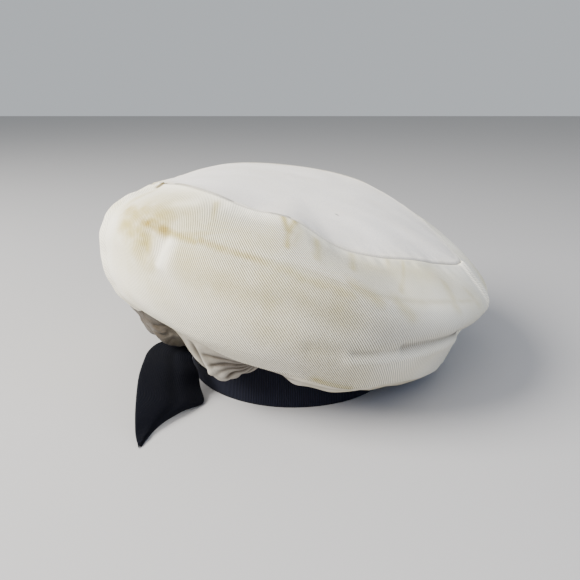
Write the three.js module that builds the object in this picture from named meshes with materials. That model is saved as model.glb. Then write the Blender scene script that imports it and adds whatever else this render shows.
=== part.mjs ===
import * as THREE from "three";

// A soft sailor cap, lying as it slouches by itself on its band. Millimetres, +Z up.
// The cap's front is at -Y, and azimuths are degrees counter-clockwise from +X round the band's axis.

// The band that the head goes into.
const headWidth = 168; // inside, along X
const headLength = 182; // inside, along Y
const bandHeight = 36;
const bandWall = 2;

// The crown's outer form.
const crownReach = 160; // from the band's axis to the widest fold
const crownRise = 126; // from the band's top to the tip's highest seam point
const tipDome = 12; // how far the tip's middle stands above its seam
const domeFullness = 2.4; // above 2, the dome is flatter in its middle
const seamHold = 3; // above 1, the seam's own rises and dips stay near the seam
const leftCorner = 210; // azimuths of the two seams that join the side panels
const rightCorner = 343;

// Cloth and sewing.
const twillWall = 1.4;
const tipWall = 1.2;
const undersideWall = 1.2;
const seamGap = 0.3; // left open between two sewn edges
const foldFade = 0.17; // share of the side's length over which its folds fade out at a seam
const sharpestMitre = 0.6; // the most of a seam's turn that its wall is thickened for
const gatherCount = 26;
const gatherDepth = 2.2;
const gatherBias = 2; // above 1, the gathers are deepest nearer the band
const neckWidth = 4; // how far out the underside turns over onto the band's top edge

// The ribbon end that hangs from the band.
const tailAzimuth = 210;
const tailReach = 106; // from its root on the band to the tip of its slanting cut
const tailWall = 1.4;
const tailCrown = 4; // how far its middle bows out between its two edges
const tailGap = 0.3; // between its root and the band

// Facets.
const frontSteps = 36;
const backSteps = 60;
const tipRows = 6;
const sideRows = 9;
const undersideRows = 8;
const tailSteps = 14;
const tailAcross = 8;

// A table's rows as objects, named by its columns.
function table(columns, rows) {
  return rows.map((row) => Object.fromEntries(columns.map((name, k) => [name, row[k]])));
}

// The side's profile at azimuths round the crown. A reach is a share of crownReach from the axis,
// and a rise is a share of crownRise above the band's top.
const sections = table(
  ["azimuth", "seamReach", "seamRise", "shoulderReach", "shoulderRise", "bellyReach", "bellyRise",
    "tuckReach", "tuckRise", "edgeReach", "edgeRise"],
  [
    [0, 0.806, 0.492, 0.931, 0.373, 0.988, 0.246, 0.881, 0.056, 0.775, -0.19],
    [15, 0.8, 0.54, 0.938, 0.413, 0.988, 0.246, 0.912, 0.063, 0.787, -0.175],
    [30, 0.781, 0.635, 0.938, 0.484, 0.981, 0.238, 0.931, 0.071, 0.806, -0.135],
    [60, 0.769, 0.81, 0.938, 0.603, 0.981, 0.31, 0.944, 0.127, 0.838, -0.063],
    [90, 0.762, 0.897, 0.931, 0.69, 0.981, 0.381, 0.95, 0.19, 0.863, 0.016],
    [120, 0.762, 0.929, 0.925, 0.73, 0.975, 0.444, 0.95, 0.262, 0.887, 0.087],
    [150, 0.744, 0.881, 0.906, 0.722, 0.963, 0.484, 0.944, 0.302, 0.894, 0.119],
    [165, 0.725, 0.873, 0.894, 0.73, 0.956, 0.5, 0.931, 0.31, 0.887, 0.119],
    [180, 0.703, 0.905, 0.887, 0.742, 0.95, 0.524, 0.919, 0.317, 0.869, 0.119],
    [195, 0.688, 0.94, 0.881, 0.802, 0.95, 0.54, 0.906, 0.341, 0.838, 0.183],
    [210, 0.675, 0.972, 0.9, 0.849, 0.956, 0.556, 0.912, 0.373, 0.825, 0.246],
    [225, 0.669, 0.992, 0.906, 0.845, 0.969, 0.54, 0.919, 0.365, 0.819, 0.258],
    [240, 0.669, 0.968, 0.912, 0.81, 0.975, 0.508, 0.925, 0.317, 0.819, 0.198],
    [255, 0.672, 0.905, 0.919, 0.762, 0.978, 0.468, 0.938, 0.27, 0.831, 0.127],
    [270, 0.681, 0.857, 0.925, 0.679, 0.981, 0.413, 0.944, 0.222, 0.85, 0.075],
    [285, 0.697, 0.71, 0.925, 0.579, 0.975, 0.349, 0.931, 0.159, 0.825, -0.032],
    [300, 0.713, 0.635, 0.925, 0.452, 0.969, 0.286, 0.912, 0.111, 0.806, -0.063],
    [315, 0.734, 0.587, 0.925, 0.381, 0.969, 0.262, 0.894, 0.095, 0.794, -0.115],
    [330, 0.769, 0.516, 0.925, 0.349, 0.966, 0.238, 0.875, 0.071, 0.787, -0.167],
    [343, 0.841, 0.472, 0.925, 0.349, 0.972, 0.238, 0.866, 0.063, 0.781, -0.198],
  ],
);

// The underside's pouches and the valleys between them. Way is the share of the way from the band to
// the lower edge, and a rise is a share of crownRise above the band's top.
const pouches = table(
  ["azimuth", "way", "rise"],
  [
    [0, 0.6, -0.214],
    [30, 0.57, -0.175],
    [55, 0.52, -0.119],
    [75, 0.33, 0.008],
    [95, 0.46, -0.071],
    [120, 0.49, -0.016],
    [138, 0.39, 0.095],
    [155, 0.53, 0.04],
    [180, 0.58, 0.032],
    [200, 0.65, 0.024],
    [211, 0.62, 0.016],
    [222, 0.38, 0.079],
    [232, 0.54, -0.048],
    [241, 0.52, -0.079],
    [251, 0.42, -0.04],
    [259, 0.27, 0.032],
    [270, 0.51, -0.048],
    [281, 0.63, -0.095],
    [300, 0.63, -0.135],
    [330, 0.59, -0.206],
  ],
);

// Folds and dents in the side panels. A drop is the share of the way down the side from the tip's
// seam to the lower edge; height and spread are shares of crownReach, and a dent's height is below 0.
const folds = table(
  ["fromAzimuth", "fromDrop", "toAzimuth", "toDrop", "height", "spread"],
  [
    [246, 0.335, 318, 0.39, 0.01, 0.05],
    [272, 0.25, 300, 0.24, -0.01, 0.055],
    [276, 0.72, 298, 0.66, -0.008, 0.05],
    [298, 0.66, 340, 0.6, -0.026, 0.045],
    [288, 0.82, 338, 0.76, 0.016, 0.055],
    [238, 0.37, 236, 0.5, 0.01, 0.035],
    [232, 0.35, 233, 0.48, -0.011, 0.04],
  ],
);

// The ribbon's two edges from its root to its slanting cut. Out is the distance from the band and
// side is the way round it, both shares of tailReach; up is a share of bandHeight.
const tailSections = table(
  ["leftOut", "leftSide", "leftUp", "rightOut", "rightSide", "rightUp"],
  [
    [0, -0.119, 0.4, 0, 0.079, 0.36],
    [0.006, -0.128, 0.72, 0.006, 0.089, 0.66],
    [0.12, -0.132, 0.84, 0.048, 0.075, 0.8],
    [0.255, -0.108, 0.85, 0.089, 0.072, 0.77],
    [0.362, -0.021, 0.85, 0.105, 0.106, 0.66],
    [0.439, 0.065, 0.82, 0.103, 0.174, 0.5],
    [0.543, 0.156, 0.7, 0.12, 0.243, 0.24],
    [0.633, 0.226, 0.5, 0.19, 0.333, 0],
    [0.724, 0.289, 0.29, 0.342, 0.315, 0],
    [0.793, 0.335, 0.09, 0.54, 0.322, 0],
    [0.836, 0.371, 0, 0.786, 0.366, 0],
  ],
);

const bandTop = bandHeight;
const crownFloor = bandTop + seamGap; // where the underside lies on the band's top edge

// A point at an azimuth, a distance from the band's axis and a height.
function polar(azimuth, reach, z) {
  const angle = THREE.MathUtils.degToRad(azimuth);
  return new THREE.Vector3(reach * Math.cos(angle), reach * Math.sin(angle), z);
}

// The distance from the axis to an ellipse with half sizes a along X and b along Y.
function ellipseReach(azimuth, a, b) {
  const angle = THREE.MathUtils.degToRad(azimuth);
  return (a * b) / Math.hypot(b * Math.cos(angle), a * Math.sin(angle));
}

function bandInner(azimuth) {
  return ellipseReach(azimuth, headWidth / 2, headLength / 2);
}

function bandOuter(azimuth) {
  return ellipseReach(azimuth, headWidth / 2 + bandWall, headLength / 2 + bandWall);
}

// One column of a table at any azimuth, on a smooth curve that closes on itself.
function around(rows, column, azimuth) {
  const count = rows.length;
  const turned = THREE.MathUtils.euclideanModulo(azimuth - rows[0].azimuth, 360) + rows[0].azimuth;
  let k = count - 1;
  while (rows[k].azimuth > turned) k -= 1;
  const at = (n) => rows[THREE.MathUtils.euclideanModulo(n, count)][column];
  const place = (n) => {
    const turns = Math.floor(n / count);
    return rows[n - turns * count].azimuth + 360 * turns;
  };
  const slope = (n) => (at(n + 1) - at(n - 1)) / (place(n + 1) - place(n - 1));
  const span = place(k + 1) - place(k);
  const t = (turned - place(k)) / span;
  const t2 = t * t;
  const t3 = t2 * t;
  return (2 * t3 - 3 * t2 + 1) * at(k) + (t3 - 2 * t2 + t) * span * slope(k)
    + (3 * t2 - 2 * t3) * at(k + 1) + (t3 - t2) * span * slope(k + 1);
}

function reachAt(rows, column, azimuth) {
  return crownReach * around(rows, column, azimuth);
}

function heightAt(rows, column, azimuth) {
  return bandTop + crownRise * around(rows, column, azimuth);
}

function seamAt(azimuth) {
  return polar(azimuth, reachAt(sections, "seamReach", azimuth), heightAt(sections, "seamRise", azimuth));
}

// How far the folds lift or dent the side at an azimuth and a drop.
function foldHeight(azimuth, drop, sideLength) {
  const arc = THREE.MathUtils.degToRad(1) * crownReach;
  const here = new THREE.Vector3(azimuth * arc, drop * sideLength, 0);
  let height = 0;
  for (const fold of folds) {
    const line = new THREE.Line3(
      new THREE.Vector3(fold.fromAzimuth * arc, fold.fromDrop * sideLength, 0),
      new THREE.Vector3(fold.toAzimuth * arc, fold.toDrop * sideLength, 0),
    );
    const nearest = line.closestPointToPoint(here, true, new THREE.Vector3());
    const away = nearest.distanceTo(here) / (fold.spread * crownReach);
    height += fold.height * crownReach * Math.exp(-away * away);
  }
  return height;
}

// The side from the tip's seam to the lower edge, at one azimuth.
function sideColumn(azimuth) {
  const controls = ["seam", "shoulder", "belly", "tuck", "edge"].map((name) => polar(
    azimuth,
    reachAt(sections, name + "Reach", azimuth),
    heightAt(sections, name + "Rise", azimuth),
  ));
  const curve = new THREE.CatmullRomCurve3(controls, false, "centripetal");
  const length = curve.getLength();
  const points = curve.getSpacedPoints(sideRows);
  return points.map((point, row) => {
    const drop = row / sideRows;
    const held = Math.min(1, drop / foldFade, (1 - drop) / foldFade);
    const lift = held * foldHeight(azimuth, drop, length);
    return point.add(polar(azimuth, lift, 0));
  });
}

// The sloping plane that lies nearest the tip's seam, as its height over the axis and its slopes.
function tipPlane() {
  const seams = azimuths.map(seamAt);
  const mean = (of) => seams.reduce((sum, point) => sum + of(point), 0) / seams.length;
  const middle = mean((point) => point.z);
  const slope = (axis) =>
    mean((point) => (point.z - middle) * point[axis]) / mean((point) => point[axis] ** 2);
  return { middle, slopeX: slope("x"), slopeY: slope("y") };
}

// The tip from its middle to its seam, at one azimuth.
function tipColumn(azimuth, plane) {
  const seam = seamAt(azimuth);
  return Array.from({ length: tipRows + 1 }, (_, row) => {
    const share = row / tipRows;
    const x = seam.x * share;
    const y = seam.y * share;
    const level = plane.middle + plane.slopeX * x + plane.slopeY * y;
    const seamLevel = plane.middle + plane.slopeX * seam.x + plane.slopeY * seam.y;
    const dome = tipDome * (1 - share ** domeFullness);
    return new THREE.Vector3(x, y, level + dome + (seam.z - seamLevel) * share ** seamHold);
  });
}

// The underside from the lower edge to the band's top edge, at one azimuth.
function undersideColumn(azimuth) {
  const edge = sideColumn(azimuth).at(-1);
  const pouchReach = THREE.MathUtils.lerp(
    bandOuter(azimuth),
    reachAt(sections, "edgeReach", azimuth),
    around(pouches, "way", azimuth),
  );
  const pouch = polar(azimuth, pouchReach, heightAt(pouches, "rise", azimuth));
  const neck = polar(azimuth, bandOuter(azimuth) + neckWidth, crownFloor);
  const sewn = polar(azimuth, bandInner(azimuth) + seamGap, crownFloor);
  const curve = new THREE.CatmullRomCurve3([edge, pouch, neck], false, "centripetal");
  const points = curve.getSpacedPoints(undersideRows - 1);
  const wave = Math.cos(THREE.MathUtils.degToRad(gatherCount * azimuth));
  points.forEach((point, row) => {
    const gathered = (row / (undersideRows - 1)) ** gatherBias;
    point.z += gatherDepth * wave * Math.sin(Math.PI * gathered);
  });
  return [...points, sewn];
}

const azimuths = [
  ...Array.from({ length: frontSteps }, (_, k) =>
    leftCorner + ((rightCorner - leftCorner) * k) / frontSteps),
  ...Array.from({ length: backSteps }, (_, k) =>
    rightCorner + ((leftCorner + 360 - rightCorner) * k) / backSteps),
];

// Each vertex's outward direction, from its neighbours in a grid of columns of points.
function gridNormals(grid, closed) {
  const columns = grid.length;
  return grid.map((column, i) => column.map((_, j) => {
    const before = closed ? (i + columns - 1) % columns : Math.max(i - 1, 0);
    const after = closed ? (i + 1) % columns : Math.min(i + 1, columns - 1);
    const down = new THREE.Vector3().subVectors(
      column[Math.min(j + 1, column.length - 1)],
      column[Math.max(j - 1, 0)],
    ).normalize();
    const along = new THREE.Vector3().subVectors(grid[after][j], grid[before][j]);
    if (along.lengthSq() === 0) return new THREE.Vector3(0, 0, 1);
    return down.cross(along.normalize()).normalize();
  }));
}

// A closed thin body between an outer and an inner grid. Columns run counter-clockwise and rows
// run downward. A closed grid joins its last column to its first, and a pole is a first row
// whose points are all one.
function thinBody(outer, inner, { closed = false, pole = false } = {}) {
  const columns = outer.length;
  const rows = outer[0].length;
  const positions = [];
  const index = [];
  for (const grid of [outer, inner]) {
    for (const column of grid) {
      for (const point of column) positions.push(point.x, point.y, point.z);
    }
  }
  const vertex = (layer, i, j) =>
    layer * columns * rows + (pole && j === 0 ? 0 : (i % columns) * rows + j);
  const quad = (a, b, c, d) => {
    if (a !== b) index.push(a, b, c);
    if (a !== d) index.push(a, c, d);
  };
  const spans = closed ? columns : columns - 1;
  for (let i = 0; i < spans; i += 1) {
    for (let j = 0; j < rows - 1; j += 1) {
      const corner = (layer) => [
        vertex(layer, i, j), vertex(layer, i, j + 1), vertex(layer, i + 1, j + 1), vertex(layer, i + 1, j),
      ];
      const [a, b, c, d] = corner(0);
      quad(a, b, c, d);
      const [e, f, g, h] = corner(1);
      quad(e, h, g, f);
    }
    if (!pole) quad(vertex(0, i + 1, 0), vertex(1, i + 1, 0), vertex(1, i, 0), vertex(0, i, 0));
    const last = rows - 1;
    quad(vertex(0, i, last), vertex(1, i, last), vertex(1, i + 1, last), vertex(0, i + 1, last));
  }
  if (!closed) {
    for (let j = 0; j < rows - 1; j += 1) {
      quad(vertex(0, 0, j), vertex(1, 0, j), vertex(1, 0, j + 1), vertex(0, 0, j + 1));
      const end = columns - 1;
      quad(vertex(0, end, j + 1), vertex(1, end, j + 1), vertex(1, end, j), vertex(0, end, j));
    }
  }
  const geometry = new THREE.BufferGeometry();
  geometry.setAttribute("position", new THREE.Float32BufferAttribute(positions, 3));
  geometry.setIndex(index);
  geometry.computeVertexNormals();
  return geometry;
}

// The crown's outer surface in columns, each from the tip's middle to the band's top edge.
function crownGrid() {
  const plane = tipPlane();
  return azimuths.map((azimuth) => [
    ...tipColumn(azimuth, plane),
    ...sideColumn(azimuth).slice(1),
    ...undersideColumn(azimuth).slice(1),
  ]);
}

// One sewn piece of the crown: its rows and columns of the crown's grid, drawn back from each seam
// by half the seam's gap, with its wall on the inside.
function crownPiece(grid, normals, { firstRow, lastRow, columns, wall, closed, pole }) {
  const outer = [];
  const inner = [];
  columns.forEach((i, place) => {
    const column = grid[i];
    const aside = closed || (place > 0 && place < columns.length - 1)
      ? new THREE.Vector3()
      : new THREE.Vector3()
        .subVectors(grid[columns[place === 0 ? 1 : place - 1]][firstRow], column[firstRow])
        .setLength(seamGap / 2);
    const outerColumn = [];
    const innerColumn = [];
    for (let j = firstRow; j <= lastRow; j += 1) {
      const next = j === lastRow ? j - 1 : j + 1;
      const inward = new THREE.Vector3().subVectors(column[next], column[j]).normalize();
      const sewn = (j === firstRow && !pole) || (j === lastRow && lastRow < column.length - 1);
      const point = column[j].clone().add(aside);
      if (sewn) point.addScaledVector(inward, seamGap / 2);
      const turn = Math.min(sharpestMitre, normals[i][j].dot(inward) ** 2);
      const mitre = sewn ? Math.sqrt(1 - turn) : 1;
      outerColumn.push(point);
      innerColumn.push(point.clone().addScaledVector(normals[i][j], -wall / mitre));
    }
    outer.push(outerColumn);
    inner.push(innerColumn);
  });
  return thinBody(outer, inner, { closed, pole });
}

function bandGeometry() {
  const wallAt = (reach) => azimuths.map((azimuth) => [
    polar(azimuth, reach(azimuth), bandTop),
    polar(azimuth, reach(azimuth), bandHeight / 2),
    polar(azimuth, reach(azimuth), 0),
  ]);
  return thinBody(wallAt(bandOuter), wallAt(bandInner), { closed: true });
}

// A point of the ribbon from its place out from the band, round it and up. None is inside the band.
function tailPoint({ x: out, y: side, z: up }) {
  const azimuth = tailAzimuth
    + THREE.MathUtils.radToDeg((side * tailReach) / bandOuter(tailAzimuth));
  const reach = bandOuter(azimuth) + tailGap + tailReach * Math.max(0, out);
  return polar(azimuth, reach, tailWall + bandHeight * up);
}

function tailGeometry() {
  const edges = ["right", "left"].map((name) => {
    const places = tailSections.map((row) =>
      new THREE.Vector3(row[name + "Out"], row[name + "Side"], row[name + "Up"]));
    return new THREE.CatmullRomCurve3(places, false, "centripetal").getPoints(tailSteps);
  });
  const outer = Array.from({ length: tailSteps + 1 }, (_, i) => {
    const bow = (tailCrown / tailReach) * Math.sin((Math.PI * i) / tailSteps);
    return Array.from({ length: tailAcross + 1 }, (_, j) => {
      const share = j / tailAcross;
      const place = new THREE.Vector3().lerpVectors(edges[0][i], edges[1][i], share);
      place.y += bow * Math.sin(Math.PI * share);
      return tailPoint(place);
    });
  });
  const normals = gridNormals(outer, false);
  const inner = outer.map((column, i) => column.map((point, j) =>
    point.clone().addScaledVector(normals[i][j], -tailWall)));
  return thinBody(outer, inner);
}

function cloth(color, roughness) {
  return new THREE.MeshStandardMaterial({ color, roughness, metalness: 0, side: THREE.DoubleSide });
}

const plainWhite = cloth(0xd7d3d1, 0.85);
const whiteTwill = cloth(0xd4ccb9, 0.9);
const navyRib = cloth(0x14151c, 0.8);

const cap = new THREE.Group();

function addPiece(name, geometry, material) {
  const mesh = new THREE.Mesh(geometry, material);
  mesh.name = name;
  cap.add(mesh);
}

const grid = crownGrid();
const normals = gridNormals(grid, true);
const allColumns = azimuths.map((_, k) => k);
const seamRow = tipRows;
const edgeRow = tipRows + sideRows;
const lastRow = edgeRow + undersideRows;

addPiece("crown_tip", crownPiece(grid, normals, {
  firstRow: 0, lastRow: seamRow, columns: allColumns, wall: tipWall, closed: true, pole: true,
}), plainWhite);
addPiece("side_front", crownPiece(grid, normals, {
  firstRow: seamRow, lastRow: edgeRow, columns: allColumns.slice(0, frontSteps + 1), wall: twillWall,
}), whiteTwill);
addPiece("side_back", crownPiece(grid, normals, {
  firstRow: seamRow, lastRow: edgeRow, columns: [...allColumns.slice(frontSteps), 0], wall: twillWall,
}), whiteTwill);
addPiece("crown_underside", crownPiece(grid, normals, {
  firstRow: edgeRow, lastRow, columns: allColumns, wall: undersideWall, closed: true,
}), plainWhite);
addPiece("band", bandGeometry(), navyRib);
addPiece("tail", tailGeometry(), navyRib);

// The origin is on the surface that the cap rests on, under the middle of its outer box.
const box = new THREE.Box3().setFromObject(cap);
const middle = box.getCenter(new THREE.Vector3());
for (const piece of cap.children) piece.position.set(-middle.x, -middle.y, -box.min.z);

export default cap;
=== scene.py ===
import math

import bpy
import numpy as np
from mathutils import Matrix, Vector


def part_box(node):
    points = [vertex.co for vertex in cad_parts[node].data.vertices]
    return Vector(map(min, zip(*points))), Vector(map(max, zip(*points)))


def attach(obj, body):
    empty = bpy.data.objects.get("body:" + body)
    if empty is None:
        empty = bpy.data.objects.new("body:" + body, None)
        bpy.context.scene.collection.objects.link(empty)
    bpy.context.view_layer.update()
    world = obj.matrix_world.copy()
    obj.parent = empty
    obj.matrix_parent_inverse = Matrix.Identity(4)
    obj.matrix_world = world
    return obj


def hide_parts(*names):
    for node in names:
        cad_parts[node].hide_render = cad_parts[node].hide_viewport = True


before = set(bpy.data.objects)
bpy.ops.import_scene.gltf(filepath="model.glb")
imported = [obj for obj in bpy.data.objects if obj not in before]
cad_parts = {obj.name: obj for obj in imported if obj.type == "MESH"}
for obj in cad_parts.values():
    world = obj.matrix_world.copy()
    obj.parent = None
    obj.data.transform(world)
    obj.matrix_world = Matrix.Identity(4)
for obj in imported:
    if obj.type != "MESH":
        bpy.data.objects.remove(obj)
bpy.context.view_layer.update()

# A soft sailor cap, slouched on its band on a pale floor. Shapes are worked out in millimetres
# round the band's axis and stored in metres. Azimuths are degrees counter-clockwise from +X.
mm = 0.001
bandLow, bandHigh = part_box("band")
bandCentre = Vector(((bandLow.x + bandHigh.x) / 2, (bandLow.y + bandHigh.y) / 2, 0))


# Camera

cameraFit = {
    "place": Vector((-2.4, -516, 228.5)),
    "pitch": 18,
    "lens": 40,
    "sensor": 36,
    "clipStart": 0.01,
}


def addCamera(fit):
    data = bpy.data.cameras.new("photoCamera")
    data.lens = fit["lens"]
    data.sensor_width = fit["sensor"]
    data.clip_start = fit["clipStart"]
    camera = bpy.data.objects.new("photoCamera", data)
    camera.location = bandCentre + fit["place"] * mm
    camera.rotation_euler = (math.radians(90 - fit["pitch"]), 0, 0)
    bpy.context.scene.collection.objects.link(camera)
    bpy.context.scene.camera = camera


addCamera(cameraFit)
print("camera set")


# Tables of the cap's form: the CAD's, with the folds, the pouches and the tail a little finer

def table(columns, rows):
    return {name: np.array([row[place] for row in rows], float) for place, name in enumerate(columns)}


bandForm = {"width": 168, "length": 182, "height": 36, "wall": 2, "gap": 0.3, "turnIn": 4}
# The tip's rows crowd towards its seam. Folds are held back near the sewn edges, over foldHold.
crownForm = {"reach": 160, "rise": 126, "dome": 12, "fullness": 2.4, "seamHold": 3, "crowding": 1.4,
             "foldHold": 0.05}
corners = {"left": 210, "right": 343}

# A reach is a share of the crown's reach, a rise is a share of its rise above the band's top.
sections = table(
    ["azimuth", "seamReach", "seamRise", "shoulderReach", "shoulderRise", "bellyReach", "bellyRise",
     "tuckReach", "tuckRise", "edgeReach", "edgeRise"],
    [
        [0, 0.806, 0.492, 0.931, 0.373, 0.988, 0.246, 0.881, 0.056, 0.775, -0.19],
        [15, 0.8, 0.54, 0.938, 0.413, 0.988, 0.246, 0.912, 0.063, 0.787, -0.175],
        [30, 0.781, 0.635, 0.938, 0.484, 0.981, 0.238, 0.931, 0.071, 0.806, -0.135],
        [60, 0.769, 0.81, 0.938, 0.603, 0.981, 0.31, 0.944, 0.127, 0.838, -0.063],
        [90, 0.762, 0.897, 0.931, 0.69, 0.981, 0.381, 0.95, 0.19, 0.863, 0.016],
        [120, 0.762, 0.929, 0.925, 0.73, 0.975, 0.444, 0.95, 0.262, 0.887, 0.087],
        [150, 0.744, 0.881, 0.906, 0.722, 0.963, 0.484, 0.944, 0.302, 0.894, 0.119],
        [165, 0.725, 0.873, 0.894, 0.73, 0.956, 0.5, 0.931, 0.31, 0.887, 0.119],
        [180, 0.703, 0.905, 0.887, 0.742, 0.95, 0.524, 0.919, 0.317, 0.869, 0.119],
        [195, 0.688, 0.94, 0.881, 0.802, 0.95, 0.54, 0.906, 0.341, 0.838, 0.183],
        [210, 0.675, 0.972, 0.9, 0.849, 0.956, 0.556, 0.912, 0.373, 0.825, 0.246],
        [225, 0.669, 0.992, 0.906, 0.845, 0.969, 0.54, 0.919, 0.365, 0.819, 0.258],
        [240, 0.669, 0.968, 0.912, 0.81, 0.975, 0.508, 0.925, 0.317, 0.819, 0.198],
        [255, 0.672, 0.905, 0.919, 0.762, 0.978, 0.468, 0.938, 0.27, 0.831, 0.127],
        [270, 0.681, 0.857, 0.925, 0.679, 0.981, 0.413, 0.944, 0.222, 0.85, 0.075],
        [285, 0.697, 0.71, 0.925, 0.579, 0.975, 0.349, 0.931, 0.159, 0.825, -0.032],
        [300, 0.713, 0.635, 0.925, 0.452, 0.969, 0.286, 0.912, 0.111, 0.806, -0.063],
        [315, 0.734, 0.587, 0.925, 0.381, 0.969, 0.262, 0.894, 0.095, 0.794, -0.115],
        [330, 0.769, 0.516, 0.925, 0.349, 0.966, 0.238, 0.875, 0.071, 0.787, -0.167],
        [343, 0.841, 0.472, 0.925, 0.349, 0.972, 0.238, 0.866, 0.063, 0.781, -0.198],
    ],
)

# Way is the share of the way from the band to the lower edge.
pouches = table(
    ["azimuth", "way", "rise"],
    [
        [0, 0.6, -0.214],
        [30, 0.57, -0.175],
        [55, 0.52, -0.119],
        [75, 0.33, 0.008],
        [95, 0.46, -0.071],
        [120, 0.49, -0.016],
        [138, 0.39, 0.095],
        [155, 0.53, 0.04],
        [180, 0.58, 0.032],
        [200, 0.65, 0.024],
        [212, 0.62, 0.016],
        [224, 0.38, 0.079],
        [235, 0.54, -0.032],
        [243.5, 0.52, -0.068],
        [251.5, 0.42, -0.04],
        [259, 0.27, 0.032],
        [270, 0.51, -0.032],
        [281, 0.63, -0.078],
        [300, 0.63, -0.12],
        [330, 0.59, -0.206],
    ],
)

# Creases, folds and dents of the side. A drop is the share of the way down the side from the tip's
# seam to the lower edge. Height and spread are in millimetres, and a dent's height is below 0.
sideFolds = table(
    ["fromAzimuth", "fromDrop", "toAzimuth", "toDrop", "height", "spread"],
    [
        [216, 0.29, 238, 0.325, -0.9, 4],
        [218, 0.35, 250, 0.36, 1.0, 6],
        [246, 0.335, 282, 0.39, 1.5, 6],
        [282, 0.39, 318, 0.40, 1.7, 7],
        [318, 0.40, 335, 0.37, 1.4, 8],
        [272, 0.25, 300, 0.24, -1.6, 9],
        [239.5, 0.37, 237.5, 0.49, 2, 4.6],
        [232.5, 0.36, 232, 0.47, -1.9, 5],
        [268, 0.0, 268, 0.2, -0.7, 2.6],
        [273, 0.03, 276, 0.26, 0.6, 4],
        [274, 0.71, 284, 0.67, -1.4, 5],
        [284, 0.67, 298, 0.625, -2.4, 5],
        [298, 0.625, 318, 0.58, -4.2, 5.5],
        [318, 0.58, 338, 0.615, -5.2, 7],
        [284, 0.735, 316, 0.67, 1.8, 6],
        [316, 0.67, 330, 0.69, 0.9, 7],
        [274, 0.90, 286, 0.93, -1.4, 6],
        [225, 0.72, 246, 0.86, 0.9, 8],
        [352, 0.42, 32, 0.5, 1.5, 9],
        [28, 0.62, 74, 0.7, -2.0, 9],
        [52, 0.3, 96, 0.4, 1.3, 8],
        [84, 0.52, 122, 0.6, -1.6, 8],
        [112, 0.36, 158, 0.42, 1.6, 9],
        [148, 0.66, 190, 0.58, -2.2, 8],
        [172, 0.36, 206, 0.34, 1.2, 7],
        [100, 0.02, 104, 0.2, -0.7, 4],
        [146, 0.02, 142, 0.18, -0.7, 4],
        [40, 0.02, 44, 0.22, -0.8, 5],
    ],
)


# Form of the cloth

# A cubic from a first value to a last one, with a slope at each.
def cubic(share, first, firstSlope, last, lastSlope):
    return ((2 * share**3 - 3 * share**2 + 1) * first + (share**3 - 2 * share**2 + share) * firstSlope
            + (3 * share**2 - 2 * share**3) * last + (share**3 - share**2) * lastSlope)


# A column of a table at any azimuth, smooth all the way round.
def around(rows, column, azimuth):
    places = rows["azimuth"]
    values = rows[column]
    places = np.concatenate([places[-2:] - 360, places, places[:3] + 360])
    values = np.concatenate([values[-2:], values, values[:3]])
    turned = np.mod(azimuth, 360)
    row = np.clip(np.searchsorted(places, turned, side="right") - 1, 1, len(places) - 3)
    slope = (values[2:] - values[:-2]) / (places[2:] - places[:-2])
    span = places[row + 1] - places[row]
    share = (turned - places[row]) / span
    return cubic(share, values[row], span * slope[row - 1], values[row + 1], span * slope[row])


# Points evenly spaced along a centripetal curve through each row of control points.
def smoothPath(controls, count, even=True):
    pointsPerSpan = 24
    knots = np.concatenate([2 * controls[:, :1] - controls[:, 1:2], controls,
                            2 * controls[:, -1:] - controls[:, -2:-1]], axis=1)
    gaps = np.sqrt(np.linalg.norm(np.diff(knots, axis=1), axis=2))[:, :, None, None]
    share = np.linspace(0, 1, pointsPerSpan, endpoint=False)[None, :, None]
    pieces = []
    for span in range(controls.shape[1] - 1):
        before, first, last, after = (knots[:, span + step, None, :] for step in range(4))
        gapBefore, gap, gapAfter = (gaps[:, span + step] for step in range(3))
        firstSlope = ((first - before) / gapBefore - (last - before) / (gapBefore + gap)
                      + (last - first) / gap) * gap
        lastSlope = ((last - first) / gap - (after - first) / (gap + gapAfter)
                     + (after - last) / gapAfter) * gap
        pieces.append(cubic(share, first, firstSlope, last, lastSlope))
    path = np.concatenate([*pieces, controls[:, -1:]], axis=1)
    steps = np.linalg.norm(np.diff(path, axis=1), axis=2)
    way = np.concatenate([np.zeros((len(path), 1)), np.cumsum(steps, axis=1)], axis=1)
    if not even:
        way = np.broadcast_to(np.arange(path.shape[1], dtype=float), way.shape)
    shares = np.linspace(0, 1, count)
    return np.stack([
        np.stack([np.interp(shares * along[-1], along, line[:, axis]) for axis in range(path.shape[2])], axis=1)
        for along, line in zip(way, path)
    ])


def ellipseReach(azimuth, across, along):
    angle = np.radians(azimuth)
    return across * along / np.hypot(along * np.cos(angle), across * np.sin(angle))


def bandReach(azimuth, wall):
    return ellipseReach(azimuth, bandForm["width"] / 2 + wall, bandForm["length"] / 2 + wall)


def crownRadius(rows, column, azimuth):
    return crownForm["reach"] * around(rows, column, azimuth)


def crownHeight(rows, column, azimuth):
    return bandForm["height"] + crownForm["rise"] * around(rows, column, azimuth)


# An azimuth, turned by whole turns to lie within half a turn of a place.
def nearTurn(azimuth, place):
    return place + np.mod(azimuth - place + 180, 360) - 180


# Distance in millimetres from each place on a sheet to a line between two places on it.
def lineDistance(across, down, start, end):
    runAcross, runDown = end[0] - start[0], end[1] - start[1]
    share = ((across - start[0]) * runAcross + (down - start[1]) * runDown) / (runAcross**2 + runDown**2)
    share = np.clip(share, 0, 1)
    return np.hypot(across - start[0] - share * runAcross, down - start[1] - share * runDown)


def bell(away, reach):
    return np.exp(-(away / reach) ** 2)


def fadeIn(away, reach):
    return 1 - np.exp(-away / reach)


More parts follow.
